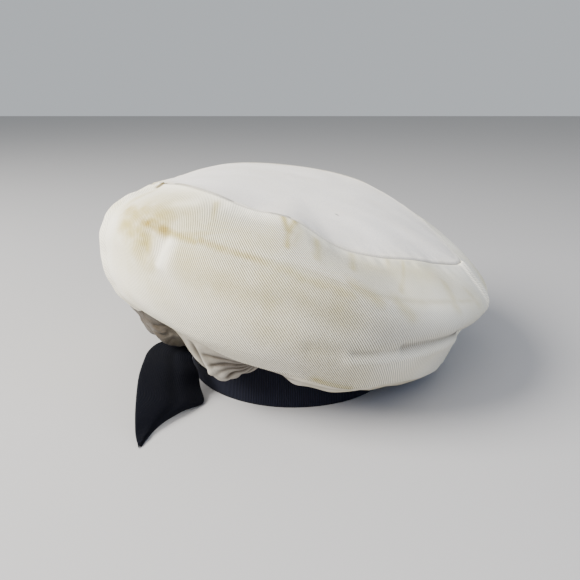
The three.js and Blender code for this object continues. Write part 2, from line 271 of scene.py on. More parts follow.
# Fades from 1 on a line between two azimuths and shares of the way down a sheet. A degree is the
# millimetres that one degree of azimuth takes on the sheet.
def lineFade(azimuth, down, length, line, spread, degree):
    fromAzimuth, fromShare, toAzimuth, toShare = line
    across = nearTurn(azimuth, fromAzimuth)[:, None] * degree
    start = fromAzimuth * degree, fromShare * length
    end = toAzimuth * degree, toShare * length
    return bell(lineDistance(across, down, start, end), spread)


# Soft seeded bumps about one cell wide, from -1 to 1. The pattern repeats after so many cells.
def softNoise(across, down, cell, seed):
    repeat = 128
    levels = np.random.default_rng(seed).uniform(-1, 1, (repeat, repeat))
    x, y = across / cell + 5 * repeat, down / cell + 5 * repeat
    column, row = np.floor(x).astype(int), np.floor(y).astype(int)
    right, up = x - column, y - row
    right, up = right * right * (3 - 2 * right), up * up * (3 - 2 * up)

    def level(stepRight, stepUp):
        return levels[(column + stepRight) % repeat, (row + stepUp) % repeat]

    return ((1 - right) * (1 - up) * level(0, 0) + right * (1 - up) * level(1, 0)
            + (1 - right) * up * level(0, 1) + right * up * level(1, 1))


# Bumps of several sizes at once.
def swells(across, down, heights, cells, seeds):
    return sum(height * softNoise(across, down, cell, seed)
               for height, cell, seed in zip(heights, cells, seeds))


# The outward direction at each point of a grid of columns.
def gridNormals(grid, closed):
    if closed:
        along = np.roll(grid, -1, axis=0) - np.roll(grid, 1, axis=0)
    else:
        along = np.gradient(grid, axis=0)
    down = np.gradient(grid, axis=1)
    normal = np.cross(down, along)
    length = np.linalg.norm(normal, axis=2, keepdims=True)
    return np.where(length > 1e-9, normal / np.maximum(length, 1e-9), (0, 0, 1))


# The crown's plain form: columns of points from the tip's middle over the side to the band. The tip
# is domed over the plane nearest to its seam.
def tipPlane():
    azimuth = np.linspace(0, 360, 360, endpoint=False)
    x, y, z = seamPoints(azimuth).T
    level = z.mean()
    return level, ((z - level) * x).mean() / (x * x).mean(), ((z - level) * y).mean() / (y * y).mean()


def polar(azimuth, reach, z):
    angle = np.radians(azimuth)
    return np.stack([reach * np.cos(angle), reach * np.sin(angle), z + 0 * reach], axis=-1)


def seamPoints(azimuth):
    return polar(azimuth, crownRadius(sections, "seamReach", azimuth),
                 crownHeight(sections, "seamRise", azimuth))


def tipColumns(azimuth, count):
    level, slopeX, slopeY = tipPlane()
    share = 1 - (1 - np.linspace(0, 1, count)[None, :, None]) ** crownForm["crowding"]
    seam = seamPoints(azimuth)[:, None, :]
    flat = share * seam[:, :, :2]
    plane = level + slopeX * flat[..., :1] + slopeY * flat[..., 1:]
    seamPlane = level + slopeX * seam[..., :1] + slopeY * seam[..., 1:2]
    dome = crownForm["dome"] * (1 - share ** crownForm["fullness"])
    height = plane + dome + (seam[..., 2:] - seamPlane) * share ** crownForm["seamHold"]
    return np.concatenate([flat, height], axis=2)


def sideColumns(azimuth, count):
    names = ["seam", "shoulder", "belly", "tuck", "edge"]
    controls = np.stack([
        np.stack([crownRadius(sections, name + "Reach", azimuth),
                  crownHeight(sections, name + "Rise", azimuth)], axis=1)
        for name in names
    ], axis=1)
    path = smoothPath(controls, count)
    length = np.linalg.norm(np.diff(path, axis=1), axis=2).sum(axis=1)
    drop = np.linspace(0, 1, count)[None, :]
    held = np.clip(np.minimum(drop, 1 - drop) / crownForm["foldHold"], 0, 1)
    degree = math.radians(1) * crownForm["reach"]
    raised = np.zeros(path.shape[:2])
    sunk = np.zeros(path.shape[:2])
    for *line, height, spread in zip(*sideFolds.values()):
        fold = height * lineFade(azimuth, drop * length[:, None], length[:, None], line, spread, degree)
        raised = np.maximum(raised, fold)
        sunk = np.minimum(sunk, fold)
    return polar(azimuth[:, None], path[..., 0] + held * (raised + sunk), path[..., 1]), length


def undersideColumns(azimuth, count, gathers=None):
    edgeReach = crownRadius(sections, "edgeReach", azimuth)
    outer = bandReach(azimuth, bandForm["wall"])
    pouchReach = outer + (edgeReach - outer) * around(pouches, "way", azimuth)
    above = bandForm["height"] + bandForm["gap"] + 0 * azimuth
    controls = np.stack([
        np.stack([edgeReach, crownHeight(sections, "edgeRise", azimuth)], axis=1),
        np.stack([pouchReach, crownHeight(pouches, "rise", azimuth)], axis=1),
        np.stack([outer + bandForm["turnIn"], above], axis=1),
    ], axis=1)
    path = smoothPath(controls, count)
    points = polar(azimuth[:, None], path[..., 0], path[..., 1])
    if gathers:
        points[..., 2] += gathers(azimuth[:, None], np.linspace(0, 1, count)[None, :])
    return points


# A sheet's mesh from a grid of columns, closed round the axis or open, with its weave in millimetres
# as a UV map and its stain and painted shade masks as point attributes.
def sheetObject(name, grid, wall, weave, masks, closed=False, pole=False):
    columns, rows = grid.shape[:2]
    number = np.arange(columns * rows).reshape(columns, rows)
    if pole:
        number[:, 0] = number[0, 0]
    after = np.roll(number, -1, axis=0) if closed else number[1:]
    before = number if closed else number[:-1]
    quads = np.stack([before[:, :-1], before[:, 1:], after[:, 1:], after[:, :-1]], axis=-1).reshape(-1, 4)
    faces = [tuple(dict.fromkeys(quad)) for quad in quads.tolist()]
    mesh = bpy.data.meshes.new(name)
    points = grid.reshape(-1, 3) * mm + np.array(bandCentre)
    mesh.from_pydata(points.tolist(), [], faces)
    mesh.shade_smooth()
    layer = mesh.uv_layers.new(name="weave")
    corner = np.zeros(len(mesh.loops), dtype=np.int32)
    mesh.loops.foreach_get("vertex_index", corner)
    layer.data.foreach_set("uv", weave.reshape(-1, 2)[corner].ravel().astype(np.float32))
    for maskName, values in masks.items():
        attribute = mesh.attributes.new(maskName, "FLOAT", "POINT")
        attribute.data.foreach_set("value", values.ravel().astype(np.float32))
    piece = bpy.data.objects.new(name, mesh)
    bpy.context.scene.collection.objects.link(piece)
    thick = piece.modifiers.new("wall", "SOLIDIFY")
    thick.thickness = wall * mm
    thick.offset = -1
    return piece


# Materials: a wire is a node's output that can be added, multiplied and mixed.
class Wire:
    def __init__(self, tree, socket):
        self.tree = tree
        self.socket = socket

    def node(self, kind, settings, inputs, output=0):
        made = self.tree.nodes.new(kind)
        for name, value in settings.items():
            setattr(made, name, value)
        for name, value in inputs.items():
            if isinstance(value, Wire):
                self.tree.links.new(value.socket, made.inputs[name])
            else:
                made.inputs[name].default_value = value
        return Wire(self.tree, made.outputs[output] if made.outputs else None)

    def math(self, operation, *values):
        return self.node("ShaderNodeMath", {"operation": operation}, dict(enumerate(values)))

    def __add__(self, other):
        return self.math("ADD", self, other)

    def __radd__(self, other):
        return self.math("ADD", other, self)

    def __sub__(self, other):
        return self.math("SUBTRACT", self, other)

    def __rsub__(self, other):
        return self.math("SUBTRACT", other, self)

    def __mul__(self, other):
        return self.math("MULTIPLY", self, other)

    def __rmul__(self, other):
        return self.math("MULTIPLY", other, self)

    def sine(self):
        return self.math("SINE", self)

    # 0 where this is below low, 1 where it is above high.
    def step(self, low, high):
        inputs = {"Value": self, "From Min": low, "From Max": high}
        return self.node("ShaderNodeMapRange", {"interpolation_type": "SMOOTHSTEP"}, inputs)

    # The first colour where this is 0, the second where it is 1.
    def mix(self, first, second, blend="MIX"):
        factor, firstColour, secondColour, colourResult = 0, 6, 7, 2
        inputs = {factor: self, firstColour: first, secondColour: second}
        settings = {"data_type": "RGBA", "blend_type": blend}
        return self.node("ShaderNodeMix", settings, inputs, output=colourResult)

    # The colour as it is where this is 0, and multiplied by the tone where it is 1.
    def tint(self, base, tone):
        return self.mix(base, tone, blend="MULTIPLY")

    def noise(self, scale, detail=2, roughness=0.5):
        inputs = {"Vector": self, "Scale": scale, "Detail": detail, "Roughness": roughness}
        return self.node("ShaderNodeTexNoise", {"noise_dimensions": "3D"}, inputs)


def colour(red, green, blue):
    def linear(value):
        share = value / 255
        return share / 12.92 if share <= 0.04045 else ((share + 0.055) / 1.055) ** 2.4
    return (linear(red), linear(green), linear(blue), 1)


turn = 2 * math.pi
# Yellow and brown are stain tones. The third tone is for dirt and also for painted shade, in creases, pouches,
# along the tip's seam and over the tail.
stainAndShadeTones = {"yellow": colour(221, 211, 150), "brown": colour(203, 184, 126), "grimeAndShade": colour(74, 67, 62)}
clothFinish = {"Specular IOR Level": 0.12, "Sheen Roughness": 0.5}


# A cloth's material. Across and along run in the weave, and place is in millimetres.
class Cloth:
    def __init__(self, name, sheen):
        self.material = bpy.data.materials.new(name)
        self.material.use_nodes = True
        tree = self.material.node_tree
        tree.nodes.clear()
        self.start = Wire(tree, None)
        weave = self.start.node("ShaderNodeUVMap", {"uv_map": "weave"}, {})
        self.across = weave.node("ShaderNodeSeparateXYZ", {}, {0: weave}, output="X")
        self.along = weave.node("ShaderNodeSeparateXYZ", {}, {0: weave}, output="Y")
        place = self.start.node("ShaderNodeTexCoord", {}, {}, output="Object")
        self.place = place.node("ShaderNodeVectorMath", {"operation": "SCALE"}, {0: place, "Scale": 1 / mm})
        self.sheen = sheen

    def mask(self, name):
        return self.start.node("ShaderNodeAttribute", {"attribute_name": name}, {}, output="Fac")

    # Small uneven turns of the threads.
    def wobble(self, scale):
        return self.place.noise(scale, 2) - 0.5

    # The ragged edges of the stain marks and of the painted shade, from 0 to 1.
    def ragged(self):
        return self.place.noise(0.07, 5, 0.6).step(0.12, 0.7)

    def yellowed(self, base, ragged):
        return (self.mask("yellow") * (0.35 + ragged * 0.75)).tint(base, stainAndShadeTones["yellow"])

    def finish(self, baseColour, roughness, height, relief):
        threads = {"Strength": 1.0, "Distance": relief * mm, "Height": height}
        bump = self.start.node("ShaderNodeBump", {}, threads)
        inputs = {"Base Color": baseColour, "Roughness": roughness, "Normal": bump,
                  "Sheen Weight": self.sheen, **clothFinish}
        surface = self.start.node("ShaderNodeBsdfPrincipled", {}, inputs)
        self.start.node("ShaderNodeOutputMaterial", {}, {"Surface": surface})
        return self.material


twill = {
    "sheen": 0.1,
    "creams": [colour(251, 245, 226), colour(246, 238, 210)],
    "grooveShade": colour(124, 116, 99),
    "patches": {"scale": 0.02, "detail": 3},
    "fleck": {"scale": 1.3, "detail": 3, "roughness": 0.6},
    "wobble": 0.7,
    "waleHeight": 0.6,
    "fleckHeight": 0.3,
    "relief": 0.3,
}


def twillCloth():
    cloth = Cloth("whiteTwill", twill["sheen"])
    wale = (cloth.across * turn + cloth.wobble(0.3) * twill["wobble"]).sine()
    fleck = cloth.place.noise(**twill["fleck"])
    crisp = cloth.mask("crisp")
    height = wale * crisp * twill["waleHeight"] + fleck * twill["fleckHeight"]
    cream = cloth.place.noise(**twill["patches"]).step(0.35, 0.7).mix(*twill["creams"])
    # The hollows between the wales are painted darker: painted shade.
    grooveShade = wale.step(0.45, -0.65)
    thread = (grooveShade * crisp * (0.6 + fleck * 0.8)).mix(cream, twill["grooveShade"])
    ragged = cloth.ragged()
    soiled = (cloth.mask("brown") * ragged).tint(cloth.yellowed(thread, ragged), stainAndShadeTones["brown"])
    # Darkened by dirt marks and by painted shade along the lower crease and on the lower right.
    dull = (cloth.mask("grimeAndShade") * (0.75 + ragged * 0.25)).tint(soiled, stainAndShadeTones["grimeAndShade"])
    return cloth.finish(dull, fleck * 0.15 + 0.8, height, twill["relief"])


plain = {
    "sheen": 0.1,
    "whites": [colour(249, 242, 232), colour(241, 233, 220)],
    "slub": colour(226, 222, 217),
    "patches": {"scale": 0.03, "detail": 4},
    "fleck": {"scale": 1.1, "detail": 3, "roughness": 0.6},
    "threadPitch": 0.9,
    "threadHeight": 0.25,
    "fleckHeight": 0.5,
    "relief": 0.2,
}


def plainCloth():
    cloth = Cloth("plainWhite", plain["sheen"])
    wobble = cloth.wobble(0.4)
    warp = (cloth.across * (turn / plain["threadPitch"]) + wobble).sine()
    weft = (cloth.along * (turn / plain["threadPitch"]) + wobble).sine()
    fleck = cloth.place.noise(**plain["fleck"])
    height = warp * weft * plain["threadHeight"] + fleck * plain["fleckHeight"]
    white = cloth.place.noise(**plain["patches"]).step(0.35, 0.7).mix(*plain["whites"])
    slub = fleck.step(0.35, 0.75).mix(white, plain["slub"])
    ragged = cloth.ragged()
    # Darkened by dirt specks and by painted shade in the pouches, the underside's creases and along the tip's
    # seam.
    grimedAndShaded = (cloth.mask("grimeAndShade") * (0.9 + ragged * 0.1)).tint(cloth.yellowed(slub, ragged), stainAndShadeTones["grimeAndShade"])
    return cloth.finish(grimedAndShaded, fleck * 0.15 + 0.8, height, plain["relief"])


rib = {
    "sheen": 0.02,
    "patches": {"scale": 0.05, "detail": 4},
    "fleck": {"scale": 1.2, "detail": 3, "roughness": 0.6},
    "wobble": 0.8,
    "navies": [colour(9, 10, 17), colour(24, 26, 41)],
    "worn": colour(21, 24, 37),
    "shadedNavy": colour(1, 2, 9),
    "pitch": 1.3,
    "ribHeight": 0.7,
    "fleckHeight": 0.3,
    "relief": 0.3,
}


def ribCloth():
    cloth = Cloth("navyRib", rib["sheen"])
    wave = (cloth.across * (turn / rib["pitch"]) + cloth.wobble(0.3) * rib["wobble"]).sine()
    fleck = cloth.place.noise(**rib["fleck"])
    grimeAndShade = cloth.mask("grimeAndShade")
    height = wave * (1 - grimeAndShade * 0.85) * rib["ribHeight"] + fleck * rib["fleckHeight"]
    # The ribs are painted lighter on their crests and darker between them: painted highlight and painted shade.
    navy = wave.step(-1.0, 1.0).mix(*rib["navies"])
    worn = cloth.place.noise(**rib["patches"]).step(0.55, 0.85).mix(navy, rib["worn"])
    # Where the mask is high, chiefly over the tail, the navy turns to a painted shade colour.
    shadedNavy = grimeAndShade.mix(worn, rib["shadedNavy"])
    return cloth.finish(shadedNavy, fleck * 0.2 + 0.75, height, rib["relief"])


materials = {"white_twill": twillCloth(), "plain_white": plainCloth(), "navy_rib": ribCloth()}
print("materials made")


def settle(piece, node, slotName):
    piece.data.materials.append(materials[slotName])
    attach(piece, "root")
    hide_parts(node)


# Puckers that fade out within reach of a seam, and at the seam itself.
def puckers(along, away, height, reach, cell, seed):
    seamReach, stretch = 2.2, 0.35
    held = 1 - bell(away, seamReach)
    return height * held * softNoise(along, stretch * away, cell, seed) * bell(away, reach)


# A seam's narrow valley.
def valley(away, depth, width):
    return -depth * np.exp(-(away / width) ** 1.5)


def ridge(away, height, offset, width):
    return height * bell(away - offset, width)


# Rows of a neighbouring sheet, of which the first few carry on a sheet's curve past its edge.
neighbourRows = {"tip": 60, "side": 60, "underside": 50}


# Tip

tip = {
    "columns": 480,
    "rows": 76,
    "wall": 1.2,
    "swells": [
        {"height": 1.2, "cell": 70, "seed": 3, "fade": 25},
        {"height": 0.5, "cell": 26, "seed": 4, "fade": 10},
    ],
    "puckers": {"height": 0.45, "reach": 11, "cell": 8, "seed": 5},
    "seamValley": {"depth": 0.6, "width": 0.8},
    "seamRidge": {"height": 0.3, "offset": 2.4, "width": 1.3},
    "aged": {"azimuth": 185, "spread": 28, "yellow": 0.8, "reach": 9},
    "seamYellow": {"yellow": 0.25, "reach": 6},
    # Painted shade in the groove of the tip's seam.
    "seamShade": {"grimeAndShade": 0.4, "reach": 1.3},
}
tipSpecks = table(["x", "y", "spread"], [[32, -50, 1.2], [-90.5, -56, 2.2]])


def tipGrid():
    azimuth = np.linspace(0, 360, tip["columns"], endpoint=False)
    inside = tipColumns(azimuth, tip["rows"])
    below, _ = sideColumns(azimuth, neighbourRows["side"])
    whole = np.concatenate([inside, below[:, 1:3]], axis=1)
    normals = gridNormals(whole, True)[:, :tip["rows"]]
    x, y = inside[..., 0], inside[..., 1]
    reach = np.hypot(x, y)
    away = reach[:, -1:] - reach
    arc = np.radians(azimuth)[:, None] * reach[:, -1:]
    lift = puckers(arc, away, **tip["puckers"])
    lift += valley(away, **tip["seamValley"]) + ridge(away, **tip["seamRidge"])
    for swell in tip["swells"]:
        lift += swell["height"] * softNoise(x, y, swell["cell"], swell["seed"]) * fadeIn(away, swell["fade"])
    normals[:, 0] = (0, 0, 1)
    lift[:, 0] = lift[:, 0].mean()
    grid = inside + normals * lift[..., None]
    aged, seamYellow, seamShade = tip["aged"], tip["seamYellow"], tip["seamShade"]
    agedSide = aged["yellow"] * bell(azimuth[:, None] - aged["azimuth"], aged["spread"])
    specks = 0 * away
    for speckX, speckY, spread in zip(*tipSpecks.values()):
        specks += np.exp(-(np.hypot(x - speckX, y - speckY) / spread) ** 4)
    masks = {
        "yellow": (seamYellow["yellow"] * np.exp(-away / seamYellow["reach"])
                   + agedSide * bell(away, aged["reach"])),
        # Painted shade along the seam, and dark specks.
        "grimeAndShade": np.clip(seamShade["grimeAndShade"] * bell(away, seamShade["reach"]) + specks, 0, 1),
    }
    return grid, np.stack([x, y], axis=-1), masks


tipPoints, tipWeave, tipMasks = tipGrid()
tipCloth = sheetObject("tipCloth", tipPoints, tip["wall"], tipWeave, tipMasks, closed=True, pole=True)
settle(tipCloth, "crown_tip", "plain_white")
print("tip made")


# Side panels

side = {
    "rows": 92,
    "frontColumns": 330,
    "backColumns": 480,
    "crowding": 0.45,
    "wall": 1.4,
    "swells": {"heights": [0.9, 0.35], "cells": [46, 17], "seeds": [11, 12]},
    "swellFade": 12,
    "tipPuckers": {"height": 0.6, "reach": 12, "cell": 7, "seed": 13},
    "tipValley": {"depth": 0.5, "width": 0.8},
    "edgePuckers": {"height": 0.5, "reach": 9, "cell": 9, "seed": 14},
    "edgeValley": {"depth": 1.2, "width": 0.8},
    "cornerPuckers": {"height": 0.6, "reach": 9, "cell": 8, "seed": 15},
    "cornerValley": {"depth": 1.7, "width": 1.3},
    "cornerRidge": {"height": 1.5, "offset": 4, "width": 1.7},
    "meanReach": 150,
    "cornerReach": 140,
    "seamCrisp": 0.35,
    "seamCrispReach": 14,
}
# Stain marks of the side panels, and painted shade along the lower crease and on the lower right, each along a
# line. Spread is in millimetres.
stainsAndShades = table(
    ["fromAzimuth", "fromDrop", "toAzimuth", "toDrop", "spread", "yellow", "brown", "grimeAndShade"],
    [
        [219, 0.3, 228, 0.325, 6, 0.9, 0.35, 0.12],
        [228, 0.325, 237, 0.335, 4, 1, 1, 0.16],
        [230, 0.31, 233, 0.325, 5, 1, 0.5, 0.12],
        [225, 0.27, 235, 0.285, 8, 0.85, 0.25, 0.12],
        [228, 0.37, 233, 0.44, 6, 0.95, 0.35, 0.15],
        [222, 0.37, 232, 0.42, 9, 0.9, 0.22, 0.12],
        [228, 0.23, 236, 0.25, 8, 0.75, 0.14, 0.07],
        [237, 0.335, 246, 0.33, 3, 0.9, 0.35, 0.02],
        [240, 0.34, 248, 0.27, 3.4, 0.65, 0.05, 0],
        [247, 0.26, 247.5, 0.18, 2.6, 0.55, 0.02, 0],
        [247, 0.18, 244, 0.06, 3.4, 0.6, 0.05, 0],
        [247, 0.315, 254, 0.33, 3.2, 0.85, 0.4, 0],
        [254, 0.33, 262, 0.335, 3.2, 0.75, 0.25, 0],
        [261, 0.34, 272, 0.375, 4.2, 0.65, 0.15, 0],
        [272, 0.375, 283, 0.37, 4.6, 0.55, 0.1, 0],
        [252, 0.4, 280, 0.46, 14, 0.42, 0, 0.09],
        [243, 0.42, 256, 0.46, 10, 0.45, 0.02, 0.05],
        [266.4, 0.0, 268.4, 0.12, 2.8, 0.95, 0.55, 0.04],
        [270.6, 0.0, 268.4, 0.12, 2.8, 0.95, 0.5, 0.04],
        [268.4, 0.1, 268.2, 0.23, 2.4, 0.75, 0.2, 0],
        [272, 0.05, 270, 0.2, 3, 0.35, 0.05, 0],
        [277, 0.07, 276, 0.23, 3.2, 0.6, 0.05, 0],
        [289, 0.04, 286, 0.19, 3.4, 0.6, 0.05, 0],
        [303, 0.01, 300, 0.1, 2.6, 0.4, 0.05, 0],
        [309.5, 0.02, 304.5, 0.14, 1.6, 0.6, 0.05, 0],
        [304.5, 0.14, 299.5, 0.28, 2, 0.45, 0, 0],
        [284, 0.32, 290, 0.36, 5, 0.5, 0.1, 0],
        [296, 0.34, 299, 0.42, 5, 0.45, 0.05, 0],
        [321.5, 0.18, 317.5, 0.38, 4.6, 0.45, 0.1, 0],
        [330.5, 0.25, 331, 0.35, 4.6, 0.35, 0.05, 0],
        [290, 0.12, 322, 0.1, 9, 0.28, 0, 0],
        [256, 0.6, 276, 0.72, 13, 0.3, 0, 0.03],
        [224, 0.2, 262, 0.24, 15, 0.5, 0, 0],
        [246, 0.46, 264, 0.5, 17, 0.5, 0, 0],
        # Grey painted shade on the lower right.
        [308, 0.7, 336, 0.8, 15, 0, 0, 0.16],
        [324, 0.22, 338, 0.42, 17, 0.15, 0, 0.1],
        [276, 0.96, 286, 0.99, 4, 0.6, 0.1, 0.04],
        [196, 0.25, 214, 0.3, 6, 0.3, 0, 0],
        [60, 0.2, 110, 0.26, 6, 0.45, 0.1, 0],
        [118, 0.3, 150, 0.24, 5, 0.4, 0.1, 0],
        [-10, 0.3, 30, 0.36, 7, 0.4, 0.05, 0],
        [85, 0.05, 88, 0.2, 3, 0.5, 0.15, 0],
        [212, 0.0, 212.6, 0.05, 1.6, 0.5, 1, 0.9],
        [211, 0.05, 211, 0.3, 1.6, 0.5, 0.4, 0.16],
        [214.5, 0.08, 216, 0.3, 5, 0.45, 0.05, 0.05],
        [258, 0.335, 286, 0.335, 2, 0.3, 0.1, 0.12],
        [286, 0.335, 331, 0.33, 2, 0.3, 0.05, 0.1],
        # Painted shade along the lower crease on the right, and above it.
        [284, 0.67, 298, 0.625, 3, 0.1, 0, 0.3],
        [298, 0.62, 318, 0.575, 4.6, 0, 0, 0.65],
        [318, 0.575, 338, 0.61, 5, 0, 0, 0.9],
        [292, 0.55, 334, 0.5, 12, 0, 0, 0.3],
        [222, 0.5, 238, 0.64, 15, 0.32, 0, 0.02],
        [224, 0.38, 233, 0.5, 11, 0.7, 0.1, 0.06],
    ],
)

# Folds where the wales and stain marks fade out, so they show paler.
paleFolds = table(
    ["fromAzimuth", "fromDrop", "toAzimuth", "toDrop", "spread", "bare"],
    [
        [239.6, 0.375, 238, 0.49, 3.8, 0.95],
        [233, 0.16, 238, 0.1, 5, 0.5],
    ],
)

# How strongly the wales stand out round the cap, in relief and in their painted shade.
waleStrength = table(
    ["azimuth", "crisp"],
    [
        [210, 0.25],
        [222, 0.4],
        [232, 0.6],
        [249, 0.85],
        [285, 0.95],
        [300, 0.62],
        [311, 0.36],
        [343, 0.3],
        [420, 0.7],
        [500, 0.8],
        [570, 0.25],
    ],
)

# The front panel's twill, chosen from spots measured in the photo and guessed near the two
# corners. A lean is in degrees down from level, at three heights of the side, and the pitch is in
# mm at the middle one.
frontTwill = table(
    ["azimuth", "pitch", "topLean", "middleLean", "lowLean"],
    [
        [210, 1.4, 50, 60, 84],
        [240, 1.35, 46, 57, 80],
        [255, 1.35, 50, 53, 68],
        [270, 1.4, 56, 50, 60],
        [285, 1.5, 56, 50, 50],
        [343, 1.6, 60, 52, 46],
    ],
)
frontHeights = {"drops": [0.1, 0.45, 0.85], "widening": [1.08, 1, 1.2]}


# The sum of a slope along one axis of a grid, from 0.
def summed(slope, place, axis):
    steps = np.diff(place, axis=axis)
    count = slope.shape[axis]
    before = np.take(slope, range(count - 1), axis=axis)
    after = np.take(slope, range(1, count), axis=axis)
    start = np.zeros_like(np.take(slope, [0], axis=axis))
    return np.concatenate([start, np.cumsum(steps * (before + after) / 2, axis=axis)], axis=axis)


# Across the wales one unit is one wale. They are counted along the middle height, then up and down.
def frontWeave(azimuth, down, length):
    drop = down / length
    drops = frontHeights["drops"]
    leans = [around(frontTwill, name, azimuth) for name in ("topLean", "middleLean", "lowLean")]
    weights = [np.interp(drop, drops, weight) for weight in np.eye(3)]
    lean = np.radians(sum(weight * angle for weight, angle in zip(weights, leans)))
    pitch = around(frontTwill, "pitch", azimuth) * np.interp(drop, drops, frontHeights["widening"])
    arc = np.radians(azimuth) * side["meanReach"] + 0 * down
    middle = [round(drops[1] * (down.shape[1] - 1))]
    along = summed(np.sin(lean) / pitch, arc, 0)[:, middle]
    fallen = summed(-np.cos(lean) / pitch, down, 1)
    return np.stack([along + fallen - fallen[:, middle], down], axis=-1)


def backWeave(azimuth, down, length):
    lean, pitch, middleReach = math.radians(52), 1.45, 142
    arc = np.radians(azimuth) * middleReach
    across = (math.sin(lean) * arc - math.cos(lean) * (down - 0.4 * length)) / pitch
    return np.stack([across, down], axis=-1)


# The columns crowd towards the corners, by the panel's crowding.
def sideGrid(first, last, columns, weave):
    share = np.linspace(0, 1, columns)
    azimuth = first + (last - first) * (share - side["crowding"] * np.sin(turn * share) / turn)
    surface, length = sideColumns(azimuth, side["rows"])
    length = length[:, None]
    above = tipColumns(azimuth, neighbourRows["tip"])
    below = undersideColumns(azimuth, neighbourRows["underside"])
    whole = np.concatenate([above[:, -3:-1], surface, below[:, 1:3]], axis=1)
    normals = gridNormals(whole, False)[:, 2:-2]
    down = np.linspace(0, 1, side["rows"])[None, :] * length
    up = length - down
    degree = math.radians(1) * side["meanReach"]
    arc = azimuth[:, None] * degree + 0 * down
    corner = np.minimum(azimuth - first, last - azimuth)[:, None] * math.radians(1) * side["cornerReach"]
    lift = swells(arc, down, **side["swells"]) * fadeIn(down, side["swellFade"]) * fadeIn(up, side["swellFade"])
    lift += puckers(arc, down, **side["tipPuckers"]) + valley(down, **side["tipValley"])
    lift += puckers(arc, up, **side["edgePuckers"]) + valley(up, **side["edgeValley"])
    lift += puckers(down, corner, **side["cornerPuckers"]) + valley(corner, **side["cornerValley"])
    lift += ridge(corner, **side["cornerRidge"])
    grid = surface + normals * lift[..., None]
    crisp = np.interp(azimuth, waleStrength["azimuth"], waleStrength["crisp"])[:, None]
    fromSeam = np.clip(down / side["seamCrispReach"], 0, 1)
    masks = {name: 0 * down for name in ("yellow", "brown", "grimeAndShade")}
    for *line, spread, yellow, brown, grimeAndShade in zip(*stainsAndShades.values()):
        fade = lineFade(azimuth, down, length, line, spread, degree)
        for name, amount in (("yellow", yellow), ("brown", brown), ("grimeAndShade", grimeAndShade)):
            masks[name] = np.maximum(masks[name], amount * fade)
    masks["crisp"] = crisp * (side["seamCrisp"] + (1 - side["seamCrisp"]) * fromSeam)
    for *line, spread, bare in zip(*paleFolds.values()):
        fade = lineFade(azimuth, down, length, line, spread, degree)
        for name in masks:
            masks[name] = masks[name] * (1 - bare * fade)
    return grid, weave(azimuth[:, None], down, length), masks


frontPoints, frontMap, frontMasks = sideGrid(corners["left"], corners["right"],
                                             side["frontColumns"], frontWeave)
sideFrontCloth = sheetObject("sideFrontCloth", frontPoints, side["wall"], frontMap, frontMasks)
settle(sideFrontCloth, "side_front", "white_twill")

backPoints, backMap, backMasks = sideGrid(corners["right"], corners["left"] + 360,
                                          side["backColumns"], backWeave)
sideBackCloth = sheetObject("sideBackCloth", backPoints, side["wall"], backMap, backMasks)
settle(sideBackCloth, "side_back", "white_twill")
print("side panels made")


# Underside

underside = {
    "columns": 740,
    "rows": 58,
    "wall": 1.2,
    "gathers": 26,
    "gatherHeight": 2.2,
    "tucks": {"height": 0.9, "cell": 7, "seed": 21},
    "swells": {"heights": [0.8, 0.5], "cells": [30, 12], "seeds": [22, 23]},
    "pleats": {"height": 0.2, "cell": 4, "seed": 24, "lean": 1.4, "stretch": 0.3, "grimeAndShade": 0.12},
    "edgeFade": 8,
    "edgeValley": {"depth": 0.9, "width": 1.2},
    "meanReach": 120,
    "bandReach": 100,
    # A darker band about 12 mm in from the lower edge.
    "darkerBand": {"grimeAndShade": 0.18, "away": 12, "spread": 9},
}


def undersideGathers(azimuth, share):
    arc = np.radians(azimuth) * underside["bandReach"]
    wave = np.cos(np.radians(underside["gathers"] * azimuth)) * np.sin(math.pi * share**2)
    tucks = underside["tucks"]
    fine = softNoise(arc, 6 * share, tucks["cell"], tucks["seed"]) * np.sin(math.pi * share**1.5)
    return underside["gatherHeight"] * wave + tucks["height"] * fine


# Creases of the pouches, with painted shade darkening the dents. Share is the way from the lower edge to the
# band.
undersideFolds = table(
    ["fromAzimuth", "fromShare", "toAzimuth", "toShare", "height", "spread", "grimeAndShade"],
    [
        [240, 0.1, 242.5, 0.4, 2.4, 2.6, 0],
        [242.5, 0.4, 250, 0.64, 2, 2.4, 0],
        [241.5, 0.17, 257, 0.05, -1.1, 1.6, 0.25],
        [243, 0.31, 258.5, 0.15, -1.5, 1.6, 0.35],
        [244.5, 0.42, 259, 0.27, -1, 1.5, 0.2],
        [247, 0.53, 259, 0.4, -1.3, 1.6, 0.3],
        [250, 0.67, 258, 0.55, -1.1, 1.6, 0.25],
        [237, 0.1, 238.5, 0.6, -1.8, 2.4, 0.4],
        [205, 0.2, 214, 0.7, -1.6, 2.6, 0.3],
        [211, 0.1, 220, 0.55, 1.3, 2.4, 0],
        [199, 0.25, 207, 0.75, 1.2, 3, 0],
        [197, 0.14, 218, 0.44, -1.4, 1.7, 0],
        [202, 0.08, 223, 0.33, -1.2, 1.6, 0],
        [196, 0.32, 213, 0.8, -1.4, 1.7, 0],
        [276, 0.5, 296, 0.3, 0.8, 3, 0],
        [269, 0.22, 287, 0.04, -0.8, 2, 0.25],
    ],
)


# How much painted shade, and how much yellowing, the underside has round the cap.
undersideShadeAndYellow = table(
    ["azimuth", "grimeAndShade", "yellow"],
    [
        [0, 0.07, 0.6],
        [178, 0.08, 0.6],
        [187, 0.45, 0.45],
        [193, 1, 0.3],
        [213, 1, 0.3],
        [219, 0.9, 0.35],
        [228, 0.5, 0.4],
        [237, 0.42, 0.35],
        [242, 0.52, 0.3],
        [247, 0.67, 0.2],
        [252, 0.72, 0.15],
        [260, 0.72, 0.15],
        [266, 0.4, 0.3],
        [272, 0.07, 0.35],
        [310, 0.07, 0.55],
        [360, 0.07, 0.6],
    ],
)


